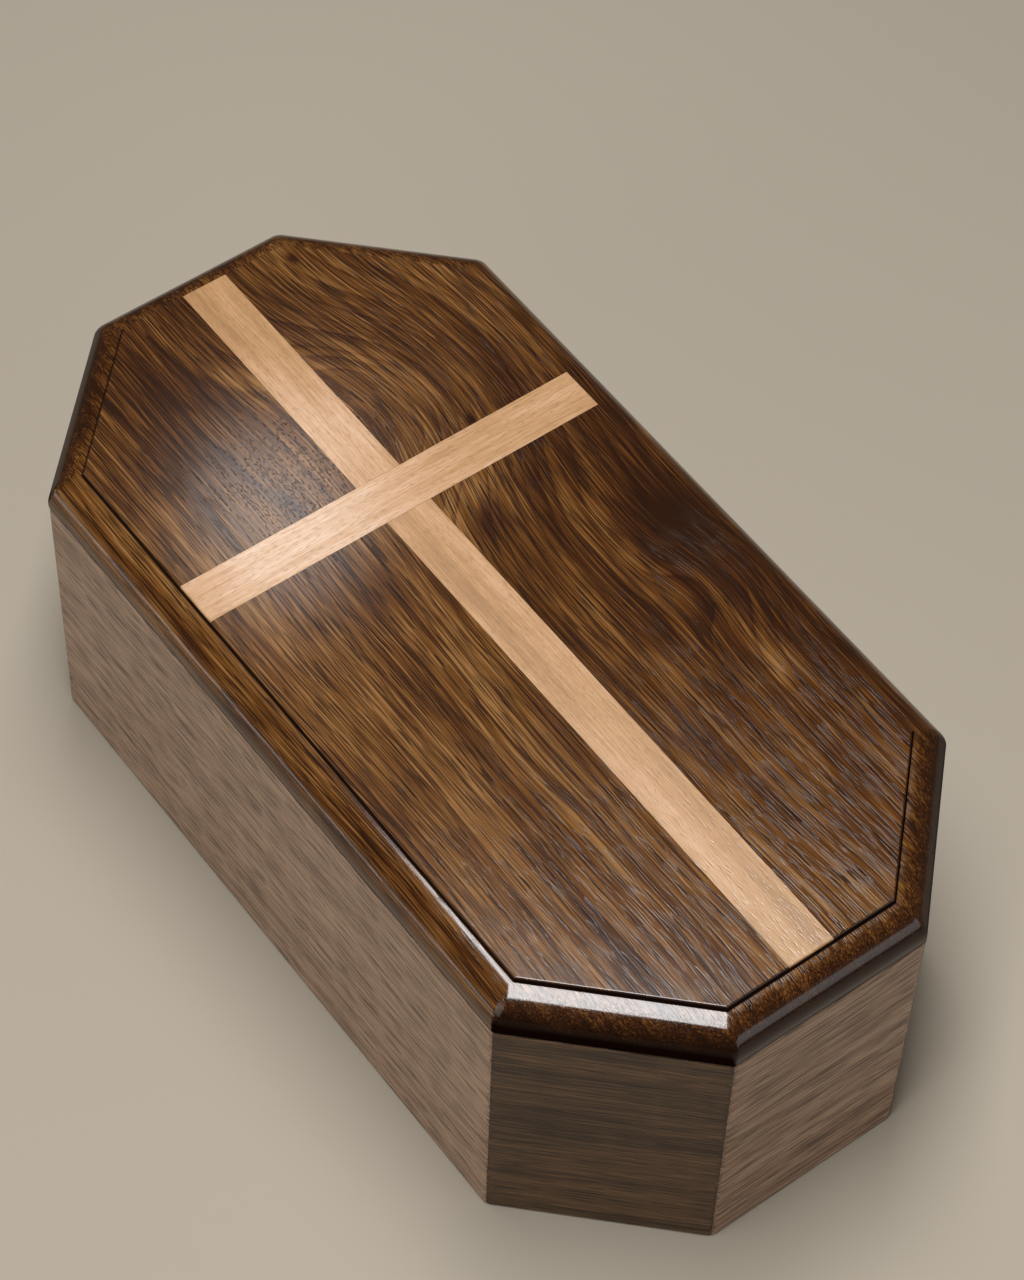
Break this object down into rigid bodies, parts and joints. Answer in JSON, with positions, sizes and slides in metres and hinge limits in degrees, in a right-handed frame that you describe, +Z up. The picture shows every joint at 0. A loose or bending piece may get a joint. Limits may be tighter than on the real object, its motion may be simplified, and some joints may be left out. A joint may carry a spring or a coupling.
{
  "type": "octagonal wooden cremation urn",
  "caption": "Octagonal walnut cremation urn: a hollow mitred box under a lift-off lid with a raised field, a rounded edge and an inlaid maple cross.",
  "frame": {"origin": "on the floor under the middle of the urn", "axes": "+Z up, +Y along the urn to the head end of the cross, +X to the right arm of the cross seen from above"},
  "size_m": [0.165, 0.324, 0.1136],
  "materials": {
    "walnut_lid": "satin-gloss lacquer over open-pored walnut",
    "walnut_walls": "satin lacquer over walnut",
    "maple_inlay": "satin-gloss lacquer over fine-grained maple"
  },
  "bodies": {
    "root": {"lid": "walnut_lid", "inlay_crossbar": "maple_inlay", "inlay_upright_head": "maple_inlay", "inlay_upright_foot": "maple_inlay", "wall_head": "walnut_walls", "wall_head_right": "walnut_walls", "wall_right": "walnut_walls", "wall_foot_right": "walnut_walls", "wall_foot": "walnut_walls", "wall_foot_left": "walnut_walls", "wall_left": "walnut_walls", "wall_head_left": "walnut_walls", "base_panel": "walnut_walls"}
  },
  "joints": []
}
